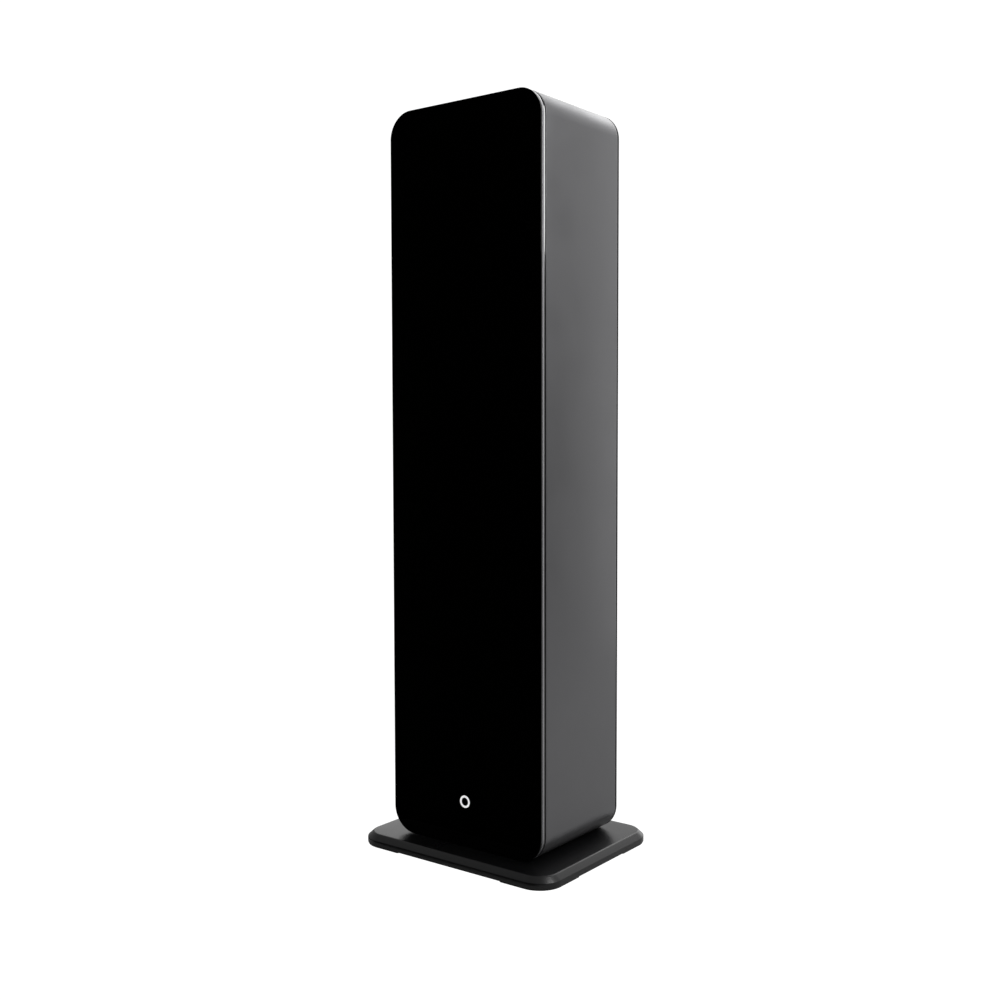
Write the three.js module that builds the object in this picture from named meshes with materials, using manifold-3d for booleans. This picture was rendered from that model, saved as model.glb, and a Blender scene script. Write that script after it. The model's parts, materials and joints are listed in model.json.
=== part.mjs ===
// Tower air purifier: glass-fronted column on a weighted base plate, with a hinged rear intake door,
// a pleated filter stack, and a centrifugal fan that blows up through a grille in the top.
// Millimetres, +Z up. Origin: centre of the footprint, on the floor. The glass front faces -Y.

import * as THREE from 'three';
import { mergeVertices } from 'three/addons/utils/BufferGeometryUtils.js';
import Module from 'manifold-3d';

const wasm = await Module();
wasm.setup();

// ---------------------------------------------------------------- driving dimensions

const GAP = 0.3;              // clearance between neighbouring pieces

const TOWER = 1017;           // height of the tower above its base plate
const WIDTH = 259;            // tower, left to right
const DEPTH = 188;            // tower, glass face to rear edge
const CORNER = 36.4;           // corner radius of the tower seen from the front
const WALL = 2;               // sleeve wall

const BASE_WIDTH = 331;
const BASE_DEPTH = 269;
const BASE_CORNER = 35.5;
const FOOT_LIFT = 1.5;        // the plate's underside above the floor
const BASE_TOP = FOOT_LIFT + 16;         // the tower starts here
const BASE_EDGE_TOP = FOOT_LIFT + 8.4;   // the upright edge ends and the bevel starts
const BASE_BEVEL = 8;         // how far the bevel runs in
const FOOT_HEIGHT = 3;
const FOOT_INNER_X = 89;      // the corner feet start here
const FOOT_INNER_Y = 54;
const WEIGHT = { halfX: 98, halfY: 49, low: 3.5, high: 9.5 };
const SCREW_X = 72;
const SCREW_Y = 70;

const HEIGHT = BASE_TOP + TOWER;
const FRONT = -DEPTH / 2;     // outer face of the glass
const REAR = DEPTH / 2;       // rear edge
const GLASS = 2.8;            // glass thickness
const CARRIER_BACK = FRONT + 6.7;    // metal carrier bonded behind the glass
const SLEEVE_FRONT = FRONT + 11.2;   // a shadow gap separates the carrier from the sleeve
const SLEEVE_REAR = REAR - 2.8;      // the rear frame shows behind the sleeve
const BULKHEAD_BACK = SLEEVE_FRONT + 3;
const RING = { z: 81, outer: 8.5, inner: 5.8, depth: 1 };   // touch key in the glass
const TOUCH_WINDOW = { halfX: 30, low: 58, high: 98 };

const FLOOR_LOW = 112;        // shelf between the power bay and the filter bay
const FLOOR_HIGH = 115;
const DECK_LOW = 762;         // shelf that carries the fan
const DECK_HIGH = 766;
const PARTITION_BACK = -50;   // wall between the electronics bay and the clean-air plenum

const FRAME_INNER = 80;       // innermost face of the rear frame
const FRAME_BORDER = 7.5;     // solid border left round the frame's hollows
const LOW_HOLLOW = { low: BASE_TOP + FRAME_BORDER, high: 97 };
const HIGH_HOLLOW = { low: 775, high: HEIGHT - FRAME_BORDER };
const LIP_REAR = 85.5;        // the lip that the door closes against
const LIP_HALF_X = 93;
const LIP_LOW = 121;
const LIP_HIGH = 751;

const DOOR_HALF_X = 100;
const DOOR_LOW = 113.5;
const DOOR_HIGH = 758.5;
const DOOR_INNER = 86;
const DOOR_CLEARANCE = 1.5;   // reveal round the door
const HINGE_RADIUS = 4;       // half-round hinge edge of the door
const HINGE_X = -DOOR_HALF_X + HINGE_RADIUS;
const HINGE_Y = DOOR_INNER + HINGE_RADIUS;
const PIN_RADIUS = 2;
const PIN_LENGTH = 18;
const SLOT = { height: 8, pitch: 16, first: 140, count: 37, halfRib: 3, end: 84 };
const CATCH_X = 97.2;         // magnets sit in the lip near the free edge
const CATCH_Z = [250, 620];
const CATCH_RADIUS = 3;

const NOTCH = { inner: 87, halfX: 8, x: 110, low: 416, high: 456 };        // finger notch
const GRIP = { halfX: 58, low: 900, high: 940, inner: 65, wall: 2 };       // carrying grip
const SOCKET = { x: 70, z: 60, halfX: 11.2, halfZ: 7.5, inner: 72, floor: 80 };
const SENSOR = { x: -70, z: 62, halfX: 20, halfZ: 12, low: 78.5, high: 90.5 };

const FAN_Y = 2;              // the fan's upright axis is at x 0
const HOUSING = { outer: 76, inner: 73.5, high: 880 };
const INLET = { outer: 42, inner: 40, high: 788 };
const IMPELLER = { eye: 44, rim: 64, low: 790, high: 852, hubInner: 31.3, hubOuter: 33.3, nose: 816 };
const BLADES = 9;
const SHAFT_RADIUS = 2.5;
const BEARING = { radius: 8, width: 5, low: 828, high: 858 };

const OUTLET = { halfX: 84, front: -54, rear: 62, corner: 8 };   // cut-out in the sleeve's top
const DUCT_LOW = HOUSING.high + GAP;
const DUCT_HIGH = HEIGHT - 14.5;
const FIN = { count: 12, thickness: 1.6, lean: 5, low: HEIGHT - 11, high: HEIGHT - 1.5 };

// ---------------------------------------------------------------- materials

const FINISH = {
  glass: { color: 0x040405, roughness: 0.06, metalness: 0 },
  ring: { color: 0xf2f2f2, roughness: 0.4, metalness: 0 },
  sleeve: { color: 0x6c6d70, roughness: 0.38, metalness: 0.7 },
  basePlastic: { color: 0x0b0b0c, roughness: 0.22, metalness: 0 },
  trim: { color: 0x9a9b9e, roughness: 0.35, metalness: 0.9 },
  blackPlastic: { color: 0x1a1a1c, roughness: 0.6, metalness: 0 },
  greyPlastic: { color: 0x8c8e90, roughness: 0.6, metalness: 0 },
  gasket: { color: 0x101011, roughness: 0.2, metalness: 0 },
  rubber: { color: 0x141414, roughness: 0.9, metalness: 0 },
  steel: { color: 0xa8aaad, roughness: 0.35, metalness: 1 },
  filterMedia: { color: 0xeceae2, roughness: 0.95, metalness: 0 },
  carbon: { color: 0x202022, roughness: 0.95, metalness: 0 },
  mesh: { color: 0x3a3b3d, roughness: 0.85, metalness: 0 },
  board: { color: 0x1f5a3a, roughness: 0.5, metalness: 0 },
  copper: { color: 0xb4703a, roughness: 0.4, metalness: 1 },
};

// ---------------------------------------------------------------- geometry helpers

const CURVE_STEPS = 4;        // half the number of facets in a quarter turn of an outline
const CIRCLE_STEPS = 18;      // half the number of facets in a full circle

function rounded(path, x0, y0, x1, y1, radius) {
  path.moveTo(x0 + radius, y0);
  path.lineTo(x1 - radius, y0);
  path.absarc(x1 - radius, y0 + radius, radius, -Math.PI / 2, 0, false);
  path.lineTo(x1, y1 - radius);
  path.absarc(x1 - radius, y1 - radius, radius, 0, Math.PI / 2, false);
  path.lineTo(x0 + radius, y1);
  path.absarc(x0 + radius, y1 - radius, radius, Math.PI / 2, Math.PI, false);
  path.lineTo(x0, y0 + radius);
  path.absarc(x0 + radius, y0 + radius, radius, Math.PI, Math.PI * 1.5, false);
  return path;
}

// Outline of the tower seen from the front, drawn in by the given inset.
function towerOutline(inset, path = new THREE.Shape()) {
  const half = WIDTH / 2 - inset;
  return rounded(path, -half, BASE_TOP + inset, half, HEIGHT - inset, CORNER - inset);
}

function circle(x, y, radius, path = new THREE.Shape()) {
  path.absarc(x, y, radius, 0, Math.PI * 2, false);
  return path;
}

// Outline in X and Y, thickness along Z.
function flat(shape, low, high, steps = CURVE_STEPS) {
  const options = { depth: high - low, bevelEnabled: false, curveSegments: steps };
  return new THREE.ExtrudeGeometry(shape, options).translate(0, 0, low);
}

// Outline in X and Z, thickness along Y.
function upright(shape, front, rear, steps = CURVE_STEPS) {
  const options = { depth: rear - front, bevelEnabled: false, curveSegments: steps };
  return new THREE.ExtrudeGeometry(shape, options).rotateX(Math.PI / 2).translate(0, rear, 0);
}

function box(x0, x1, y0, y1, z0, z1) {
  const shape = new THREE.BoxGeometry(x1 - x0, y1 - y0, z1 - z0);
  return shape.translate((x0 + x1) / 2, (y0 + y1) / 2, (z0 + z1) / 2);
}

// Upright cylinder about (x, y).
function post(x, y, radius, low, high, sides = 16) {
  const shape = new THREE.CylinderGeometry(radius, radius, high - low, sides);
  return shape.rotateX(Math.PI / 2).translate(x, y, (low + high) / 2);
}

// Cylinder lying along Y about (x, z).
function barrel(x, z, radius, front, rear, sides = 16) {
  const shape = new THREE.CylinderGeometry(radius, radius, rear - front, sides);
  return shape.translate(x, (front + rear) / 2, z);
}

// Upright ring about (0, 0).
function ring(outer, inner, low, high, steps = CIRCLE_STEPS) {
  const shape = circle(0, 0, outer);
  shape.holes.push(circle(0, 0, inner, new THREE.Path()));
  return flat(shape, low, high, steps);
}

function toSolid(geometry) {
  const bare = geometry.clone();
  bare.deleteAttribute('normal');
  bare.deleteAttribute('uv');
  const merged = mergeVertices(bare, 1e-4);
  const corners = merged.index.array;
  const kept = [];
  for (let i = 0; i < corners.length; i += 3) {
    const [a, b, c] = [corners[i], corners[i + 1], corners[i + 2]];
    if (a !== b && b !== c && c !== a) kept.push(a, b, c);
  }
  return new wasm.Manifold(new wasm.Mesh({
    numProp: 3,
    vertProperties: new Float32Array(merged.attributes.position.array),
    triVerts: new Uint32Array(kept),
  }));
}

function toGeometry(solid) {
  const mesh = solid.getMesh();
  const geometry = new THREE.BufferGeometry();
  geometry.setAttribute('position', new THREE.BufferAttribute(mesh.vertProperties, 3));
  geometry.setIndex(new THREE.BufferAttribute(mesh.triVerts, 1));
  return geometry;
}

function join(...pieces) {
  return toGeometry(pieces.map(toSolid).reduce((whole, piece) => whole.add(piece)));
}

function cut(body, ...tools) {
  return toGeometry(tools.map(toSolid).reduce((rest, tool) => rest.subtract(tool), toSolid(body)));
}

function add(parent, name, geometry, finish, x = 0, y = 0, z = 0) {
  const mesh = new THREE.Mesh(geometry, new THREE.MeshStandardMaterial(FINISH[finish]));
  mesh.name = name;
  mesh.position.set(x, y, z);
  parent.add(mesh);
}

// The four corners of the base, as sign pairs with a name.
const CORNERS = [
  ['front_left', -1, -1],
  ['front_right', 1, -1],
  ['rear_left', -1, 1],
  ['rear_right', 1, 1],
];

// ---------------------------------------------------------------- base

// Corner pad in the first quadrant, with its outer corner following the plate's corner.
function footShape(grow) {
  const outerX = BASE_WIDTH / 2 - 1 + grow;
  const outerY = BASE_DEPTH / 2 - 1 + grow;
  const turn = BASE_CORNER - 1 + grow;
  const shape = new THREE.Shape();
  shape.moveTo(FOOT_INNER_X - grow, FOOT_INNER_Y - grow);
  shape.lineTo(outerX, FOOT_INNER_Y - grow);
  shape.lineTo(outerX, outerY - turn);
  shape.absarc(outerX - turn, outerY - turn, turn, 0, Math.PI / 2, false);
  shape.lineTo(FOOT_INNER_X - grow, outerY);
  return shape;
}

// The same pad turned into the quadrant given by the signs, its outline kept counter-clockwise.
function foot(signX, signY, grow, low, high) {
  const points = footShape(grow).getPoints(CURVE_STEPS);
  const placed = points.map((point) => new THREE.Vector2(point.x * signX, point.y * signY));
  if (signX * signY < 0) placed.reverse();
  return flat(new THREE.Shape(placed), low, high);
}

function basePlate() {
  const half = BASE_WIDTH / 2;
  const deep = BASE_DEPTH / 2;
  const top = BASE_TOP - GAP;
  const outline = rounded(new THREE.Shape(), -half, -deep, half, deep, BASE_CORNER);
  const skirt = flat(outline, FOOT_LIFT, BASE_EDGE_TOP);
  const bevelled = bevelledSlab(half, deep, BASE_CORNER, BASE_EDGE_TOP - 0.1, top, BASE_BEVEL);
  const pocket = WEIGHT.halfX + GAP;
  const pocketDeep = WEIGHT.halfY + GAP;
  const cutters = [box(-pocket, pocket, -pocketDeep, pocketDeep, 0, WEIGHT.high + GAP)];
  for (const [, signX, signY] of CORNERS) {
    cutters.push(foot(signX, signY, -0.4 + GAP * 2, 0, FOOT_HEIGHT + GAP));
    cutters.push(post(SCREW_X * signX, SCREW_Y * signY, 5, 0, 7.5));
    cutters.push(post(SCREW_X * signX, SCREW_Y * signY, 2.4, 0, BASE_TOP + 1, 12));
  }
  return cut(join(skirt, bevelled), ...cutters);
}

// Slab whose upper edge leans in all round: one lofted body, from rounded outline to rounded outline.
function bevelledSlab(halfX, halfY, radius, low, high, inset) {
  const lower = rounded(new THREE.Shape(), -halfX, -halfY, halfX, halfY, radius).getPoints(CURVE_STEPS);
  const inner = radius - inset;
  const upper = rounded(
    new THREE.Shape(), -halfX + inset, -halfY + inset, halfX - inset, halfY - inset, inner,
  ).getPoints(CURVE_STEPS);
  const count = lower.length - 1;
  const vertices = [];
  for (const [points, z] of [[lower, low], [upper, high]]) {
    for (let i = 0; i < count; i += 1) vertices.push(points[i].x, points[i].y, z);
  }
  vertices.push(0, 0, low, 0, 0, high);
  const faces = [];
  for (let i = 0; i < count; i += 1) {
    const next = (i + 1) % count;
    faces.push(i, next, count + next, i, count + next, count + i);
    faces.push(2 * count, next, i, 2 * count + 1, count + i, count + next);
  }
  const geometry = new THREE.BufferGeometry();
  geometry.setAttribute('position', new THREE.Float32BufferAttribute(vertices, 3));
  geometry.setIndex(faces);
  return geometry;
}

function baseWeight() {
  const { halfX, halfY, low, high } = WEIGHT;
  return box(-halfX, halfX, -halfY, halfY, low, high);
}

// Pan-head screw with a cross recess, its head at the bottom, about the local origin.
function baseScrew() {
  const screw = join(post(0, 0, 4.4, 4.4, 7.2), post(0, 0, 2, 7, 29, 12));
  return cut(screw, box(-2.6, 2.6, -0.6, 0.6, 4, 5.9), box(-0.6, 0.6, -2.6, 2.6, 4, 5.9));
}

// ---------------------------------------------------------------- tower shell

function outerSleeve() {
  const outline = towerOutline(0);
  outline.holes.push(towerOutline(WALL, new THREE.Path()));
  const tube = upright(outline, SLEEVE_FRONT, SLEEVE_REAR);
  const { halfX, front, rear, corner } = OUTLET;
  const mouth = rounded(new THREE.Shape(), -halfX, front, halfX, rear, corner);
  const cutters = [flat(mouth, HEIGHT - 5, HEIGHT + 5, 3)];
  for (const [, signX, signY] of CORNERS) {
    cutters.push(post(SCREW_X * signX, SCREW_Y * signY, 2.4, BASE_TOP - 2, BASE_TOP + 5, 12));
  }
  return cut(tube, ...cutters);
}

function bottomTray() {
  const low = BASE_TOP + WALL + GAP;
  const pieces = [box(-88, 88, -78, 78, low, low + 3)];
  const holes = [];
  for (const [, signX, signY] of CORNERS) {
    pieces.push(post(SCREW_X * signX, SCREW_Y * signY, 5.5, low + 1, 31));
    holes.push(post(SCREW_X * signX, SCREW_Y * signY, 2.3, low - 1, 32, 12));
  }
  return cut(join(...pieces), ...holes);
}

function frontGlass() {
  const pane = upright(towerOutline(0), FRONT, FRONT + GLASS);
  const groove = new THREE.Shape();
  circle(0, RING.z, RING.outer + GAP, groove);
  groove.holes.push(circle(0, RING.z, RING.inner - GAP, new THREE.Path()));
  return cut(pane, upright(groove, FRONT - 1, FRONT + RING.depth + GAP, CIRCLE_STEPS));
}

function powerRing() {
  const shape = circle(0, 0, RING.outer);
  shape.holes.push(circle(0, 0, RING.inner, new THREE.Path()));
  return upright(shape, 0, RING.depth, CIRCLE_STEPS);
}

function glassCarrier() {
  const outline = towerOutline(0);
  const { halfX, low, high } = TOUCH_WINDOW;
  outline.holes.push(rounded(new THREE.Path(), -halfX, low, halfX, high, 3));
  return upright(outline, FRONT + GLASS + GAP, CARRIER_BACK);
}

function panelSeal() {
  const outline = towerOutline(1);
  outline.holes.push(towerOutline(5, new THREE.Path()));
  return upright(outline, CARRIER_BACK + GAP, SLEEVE_FRONT - GAP);
}

const CLIP_X = 113;
const CLIP_Z = [130, 505, 880];

function frontBulkhead() {
  const sheet = upright(towerOutline(WALL + GAP), SLEEVE_FRONT, BULKHEAD_BACK);
  const holes = [barrel(0, 66, 5, SLEEVE_FRONT - 1, BULKHEAD_BACK + 1, 12)];
  for (const x of [-CLIP_X, CLIP_X]) {
    for (const z of CLIP_Z) holes.push(box(x - 2, x + 2, SLEEVE_FRONT - 1, BULKHEAD_BACK + 1, z - 6, z + 6));
  }
  return cut(sheet, ...holes);
}

// Push clip: a flange behind the carrier and a barbed tongue through the bulkhead.
function panelClip() {
  const flange = box(-5, 5, 0.3, 1.8, -9, 9);
  const tongue = box(-1.6, 1.6, 1.5, 9.5, -5.5, 5.5);
  const barb = box(-1.6, 1.6, 7.9, 9.5, -7, 7);
  return join(flange, tongue, barb);
}

// ---------------------------------------------------------------- inner structure

const INNER_HALF = WIDTH / 2 - WALL - GAP;

function shelf(low, high) {
  return box(-INNER_HALF, INNER_HALF, BULKHEAD_BACK + GAP, FRAME_INNER - GAP, low, high);
}

function filterBayFloor() {
  return cut(shelf(FLOOR_LOW, FLOOR_HIGH), post(-95, -65, 7, FLOOR_LOW - 1, FLOOR_HIGH + 1));
}

function fanDeck() {
  const mouth = ring(INLET.outer, INLET.inner, DECK_LOW, INLET.high).translate(0, FAN_Y, 0);
  const hole = post(0, FAN_Y, INLET.inner + 1, DECK_LOW - 1, DECK_HIGH + 1, 36);
  return join(cut(shelf(DECK_LOW, DECK_HIGH), hole), mouth);
}

function partition() {
  const low = FLOOR_HIGH + GAP;
  const high = DECK_LOW - GAP;
  return box(-INNER_HALF, INNER_HALF, PARTITION_BACK - 2, PARTITION_BACK, low, high);
}

// ---------------------------------------------------------------- filters

const FILTER_HALF = LIP_HALF_X - GAP;
const FILTER_LOW = LIP_LOW + GAP;
const FILTER_HIGH = LIP_HIGH - GAP;
const HEPA = { front: 28.3, rear: 68, wall: 2.5 };
const PREFILTER = { front: 78, rear: 84.7, border: 8 };

function frameShape(halfX, low, high, border) {
  const shape = rounded(new THREE.Shape(), -halfX, low, halfX, high, 1);
  const hole = rounded(new THREE.Path(), -halfX + border, low + border, halfX - border, high - border, 1);
  shape.holes.push(hole);
  return shape;
}

function filterHousing() {
  const baffle = box(-INNER_HALF, INNER_HALF, 24, 26, FLOOR_HIGH + GAP, DECK_LOW - GAP);
  const sides = upright(frameShape(LIP_HALF_X + 2, LIP_LOW - 2, LIP_HIGH + 2, 2), 25, FRAME_INNER - GAP, 1);
  const mouth = box(-88, 88, 20, 30, LIP_LOW + 5, LIP_HIGH - 5);
  return join(cut(baffle, mouth), sides);
}

function hepaFrame() {
  return upright(frameShape(FILTER_HALF, FILTER_LOW, FILTER_HIGH, HEPA.wall), HEPA.front, HEPA.rear, 1);
}

// Pleated sheet: a zigzag band of constant thickness, standing upright in its frame.
function hepaMedia() {
  const pleats = 20;
  const half = FILTER_HALF - HEPA.wall - GAP;
  const thick = 1.6;
  const front = HEPA.front + 3;
  const rear = HEPA.rear - 3;
  const folds = [];
  for (let i = 0; i <= 2 * pleats; i += 1) {
    folds.push([-half + (i * half) / pleats, i % 2 === 0 ? front : rear - thick]);
  }
  const near = folds.map(([x, y]) => new THREE.Vector2(x, y));
  const far = folds.map(([x, y]) => new THREE.Vector2(x, y + thick)).reverse();
  const low = FILTER_LOW + HEPA.wall + GAP;
  const high = FILTER_HIGH - HEPA.wall - GAP;
  return flat(new THREE.Shape([...near, ...far]), low, high);
}

function carbonFilter() {
  return box(-FILTER_HALF, FILTER_HALF, HEPA.rear + GAP, PREFILTER.front - GAP, FILTER_LOW, FILTER_HIGH);
}

function prefilterFrame() {
  const border = frameShape(FILTER_HALF, FILTER_LOW, FILTER_HIGH, PREFILTER.border);
  const middle = (FILTER_LOW + FILTER_HIGH) / 2;
  const reach = FILTER_HALF - PREFILTER.border + 1;
  const crossbar = box(-reach, reach, 82.3, PREFILTER.rear, middle - 3, middle + 3);
  return join(upright(border, PREFILTER.front, PREFILTER.rear, 1), crossbar);
}

function prefilterMesh() {
  const half = FILTER_HALF - PREFILTER.border - GAP;
  const low = FILTER_LOW + PREFILTER.border + GAP;
  const high = FILTER_HIGH - PREFILTER.border - GAP;
  return box(-half, half, 80, 82, low, high);
}

// Thin ribbon that hangs on the prefilter's upper bar, to pull the filters out by.
function pullTab() {
  return upright(rounded(new THREE.Shape(), -14, 700, 14, 744, 4), PREFILTER.rear + GAP, 85.6, 2);
}

// ---------------------------------------------------------------- rear frame and door

function rearFrame() {
  const flange = upright(towerOutline(0), SLEEVE_REAR + GAP, REAR);
  const spigot = upright(towerOutline(WALL + GAP), FRAME_INNER, SLEEVE_REAR + 1);
  const doorHalf = DOOR_HALF_X + DOOR_CLEARANCE;
  const doorLow = DOOR_LOW - DOOR_CLEARANCE;
  const doorHigh = DOOR_HIGH + DOOR_CLEARANCE;
  const inside = FRAME_INNER - 1;
  const outside = REAR + 1;
  const skin = REAR - 3;
  const hollow = WIDTH / 2 - FRAME_BORDER;
  const cutters = [
    box(-doorHalf, doorHalf, LIP_REAR, outside, doorLow, doorHigh),
    box(-LIP_HALF_X, LIP_HALF_X, inside, outside, LIP_LOW, LIP_HIGH),
    upright(rounded(new THREE.Shape(), -hollow, HIGH_HOLLOW.low, hollow, HIGH_HOLLOW.high, 29), inside, skin),
    upright(rounded(new THREE.Shape(), -hollow, LOW_HOLLOW.low, hollow, LOW_HOLLOW.high, 29), inside, skin),
    box(-GRIP.halfX - GAP, GRIP.halfX + GAP, inside, outside, GRIP.low - GAP, GRIP.high + GAP),
    box(
      SOCKET.x - SOCKET.halfX - GAP, SOCKET.x + SOCKET.halfX + GAP, inside, outside,
      SOCKET.z - SOCKET.halfZ - GAP, SOCKET.z + SOCKET.halfZ + GAP,
    ),
    box(NOTCH.x - NOTCH.halfX - 2, NOTCH.x + NOTCH.halfX, NOTCH.inner, outside, NOTCH.low, NOTCH.high),
    post(HINGE_X, HINGE_Y, PIN_RADIUS + GAP, doorLow - 9, doorLow + 1),
    post(HINGE_X, HINGE_Y, PIN_RADIUS + GAP, doorHigh - 1, doorHigh + 9),
  ];
  for (const z of CATCH_Z) {
    cutters.push(barrel(CATCH_X, z, CATCH_RADIUS + GAP, LIP_REAR - 3.5, outside));
  }
  for (let i = -2; i <= 2; i += 1) {
    const z = SENSOR.z + i * 5;
    cutters.push(box(SENSOR.x - 14, SENSOR.x + 14, inside, outside, z - 1.2, z + 1.2));
  }
  return cut(join(flange, spigot), ...cutters);
}

function gripCup() {
  const { halfX, low, high, inner, wall } = GRIP;
  const block = box(-halfX, halfX, inner, REAR, low, high);
  return cut(block, box(-halfX + wall, halfX - wall, inner + wall, REAR + 1, low + wall, high - wall));
}

// Built about the hinge axis, so that the door turns about its own origin.
function rearDoor() {
  const reach = DOOR_HALF_X - HINGE_X;
  const plan = new THREE.Shape();
  plan.moveTo(0, -HINGE_RADIUS);
  plan.lineTo(reach, -HINGE_RADIUS);
  plan.lineTo(reach, HINGE_RADIUS);
  plan.lineTo(0, HINGE_RADIUS);
  plan.absarc(0, 0, HINGE_RADIUS, Math.PI / 2, Math.PI * 1.5, false);
  const panel = flat(plan, DOOR_LOW, DOOR_HIGH, 5);
  const middle = -HINGE_X;
  const cutters = [];
  for (let row = 0; row < SLOT.count; row += 1) {
    const low = SLOT.first + row * SLOT.pitch;
    const high = low + SLOT.height;
    cutters.push(box(middle - SLOT.end, middle - SLOT.halfRib, -9, 9, low, high));
    cutters.push(box(middle + SLOT.halfRib, middle + SLOT.end, -9, 9, low, high));
  }
  for (const z of CATCH_Z) {
    cutters.push(barrel(CATCH_X + middle, z, CATCH_RADIUS + GAP, -HINGE_RADIUS - 1, -HINGE_RADIUS + 1.8));
  }
  cutters.push(post(0, 0, PIN_RADIUS + GAP, DOOR_LOW - 1, DOOR_LOW + 10));
  cutters.push(post(0, 0, PIN_RADIUS + GAP, DOOR_HIGH - 10, DOOR_HIGH + 1));
  return cut(panel, ...cutters);
}

// ---------------------------------------------------------------- electrics

// Two-pin inlet: a block with an oval well and two pins standing in it.
function inletSocket() {
  const block = box(-SOCKET.halfX, SOCKET.halfX, SOCKET.inner, REAR, -SOCKET.halfZ, SOCKET.halfZ);
  const well = upright(rounded(new THREE.Shape(), -8.6, -4.9, 8.6, 4.9, 4.8), SOCKET.floor, REAR + 1, 3);
  const pins = [-4.3, 4.3].map((x) => barrel(x, 0, 1.2, SOCKET.floor - 1, REAR - 3, 12));
  return join(cut(block, well), ...pins);
}

function airSensor() {
  const body = box(-SENSOR.halfX, SENSOR.halfX, SENSOR.low, SENSOR.high, -SENSOR.halfZ, SENSOR.halfZ);
  return cut(body, box(-14, 14, SENSOR.high - 6, SENSOR.high + 1, -8, 8));
}

function powerSupply() {
  const low = BASE_TOP + WALL + GAP + 3 + GAP;
  const pieces = [
    box(-88, -8, -35, 35, 28, 29.6),
    box(-78, -48, -20, 8, 29, 56),
    post(-30, -16, 9, 29, 60),
    post(-30, 12, 9, 29, 60),
    box(-80, -50, 20, 23, 29, 62),
  ];
  for (const x of [-84, -12]) {
    for (const y of [-31, 31]) pieces.push(post(x, y, 2.5, low, 28.5, 8));
  }
  return join(...pieces);
}

// Lead from the back of the inlet to the edge of the power board.
function inletLead() {
  const route = new THREE.CatmullRomCurve3([
    new THREE.Vector3(70, 71.4, 60),
    new THREE.Vector3(70, 62, 60),
    new THREE.Vector3(60, 46, 50),
    new THREE.Vector3(28, 20, 38),
    new THREE.Vector3(8, 4, 36),
    new THREE.Vector3(-7.4, 0, 35),
  ]);
  const section = circle(0, 0, 2.5);
  return new THREE.ExtrudeGeometry(section, { steps: 16, curveSegments: 4, extrudePath: route });
}

function mainBoard() {
  const pieces = [
    box(-60, 60, -74, -72.4, 300, 460),
    box(-40, -10, -73, -66, 330, 360),
    box(5, 45, -73, -69, 340, 380),
    box(-45, -25, -73, -62, 390, 440),
    box(10, 30, -73, -64, 410, 430),
  ];
  for (const x of [-55, 55]) {
    for (const z of [305, 455]) pieces.push(barrel(x, z, 3, BULKHEAD_BACK + GAP, -73, 8));
  }
  return join(...pieces);
}

function touchBoard() {
  const back = FRONT + GLASS + 0.4;
  return join(
    box(-28, 28, back, back + 1.6, 60, 96),
    box(-10, 10, back + 1, back + 3.2, 84, 94),
  );
}

// ---------------------------------------------------------------- fan, built about its own axis

function fanHousing() {
  return ring(HOUSING.outer, HOUSING.inner, DECK_HIGH + GAP, HOUSING.high);
}

// Spider: a rim in the housing, four arms, a cap, and the tube that holds the bearings.
function motorMount() {
  const rimOuter = HOUSING.inner - GAP;
  const pieces = [
    ring(rimOuter, rimOuter - 4, 866, 878),
    ring(30, 6, 866, 870),
    cut(post(0, 0, 10, 826, 870), post(0, 0, BEARING.radius + GAP, 825, 867)),
  ];
  for (const turn of [0, 1, 2, 3]) {
    const arm = box(-3, 3, 20, rimOuter - 2, 866, 874);
    pieces.push(arm.rotateZ((turn * Math.PI) / 2 + Math.PI / 4));
  }
  return join(...pieces);
}

function bearing() {
  return ring(BEARING.radius, SHAFT_RADIUS + GAP, 0, BEARING.width, 8);
}

// Laminated core with nine wound poles.
function motorStator() {
  const slots = [];
  for (let i = 0; i < 9; i += 1) {
    slots.push(box(-2, 2, 17, 30, 829, 853).rotateZ((i * Math.PI * 2) / 9));
  }
  return cut(ring(28.5, 10.3, 830, 852), ...slots);
}

function motorRotor() {
  return join(ring(31, 29.3, 821, 856), ring(31, SHAFT_RADIUS + GAP, 819, 821.5));
}

function motorShaft() {
  return post(0, 0, SHAFT_RADIUS, 806, 865, 20);
}

function shaftNut() {
  const sides = [0, 1, 2, 3, 4, 5].map((side) => (side * Math.PI) / 3);
  const shape = new THREE.Shape(sides.map((turn) => new THREE.Vector2(5 * Math.cos(turn), 5 * Math.sin(turn))));
  shape.holes.push(circle(0, 0, SHAFT_RADIUS + GAP, new THREE.Path()));
  return flat(shape, 809, IMPELLER.nose - GAP, 8);
}

// One backward-curved blade: a strip bent to an arc whose centre lies beside the fan's axis.
function blade(angle) {
  const bend = 46;
  const offset = 45;
  const thickness = 1.6;
  const turn = (reach) => Math.PI - Math.acos((bend ** 2 + offset ** 2 - reach ** 2) / (2 * bend * offset));
  const inner = turn(IMPELLER.eye);
  const outer = turn(IMPELLER.rim - 1);
  const shape = new THREE.Shape();
  shape.absarc(offset, 0, bend, outer, inner, false);
  shape.absarc(offset, 0, bend - thickness, inner, outer, true);
  return flat(shape, IMPELLER.low + 1, IMPELLER.high - 1, 3).rotateZ(angle);
}

function impeller() {
  const { eye, rim, low, high, hubInner, hubOuter, nose } = IMPELLER;
  const pieces = [
    ring(rim, eye - 1, low, low + 2),
    ring(rim, hubInner, high - 2, high),
    ring(hubOuter, hubInner, nose, high),
    ring(hubOuter, SHAFT_RADIUS + GAP, nose, nose + 2),
  ];
  for (let i = 0; i < BLADES; i += 1) pieces.push(blade((i * Math.PI * 2) / BLADES));
  return join(...pieces);
}

// ---------------------------------------------------------------- outlet

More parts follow.
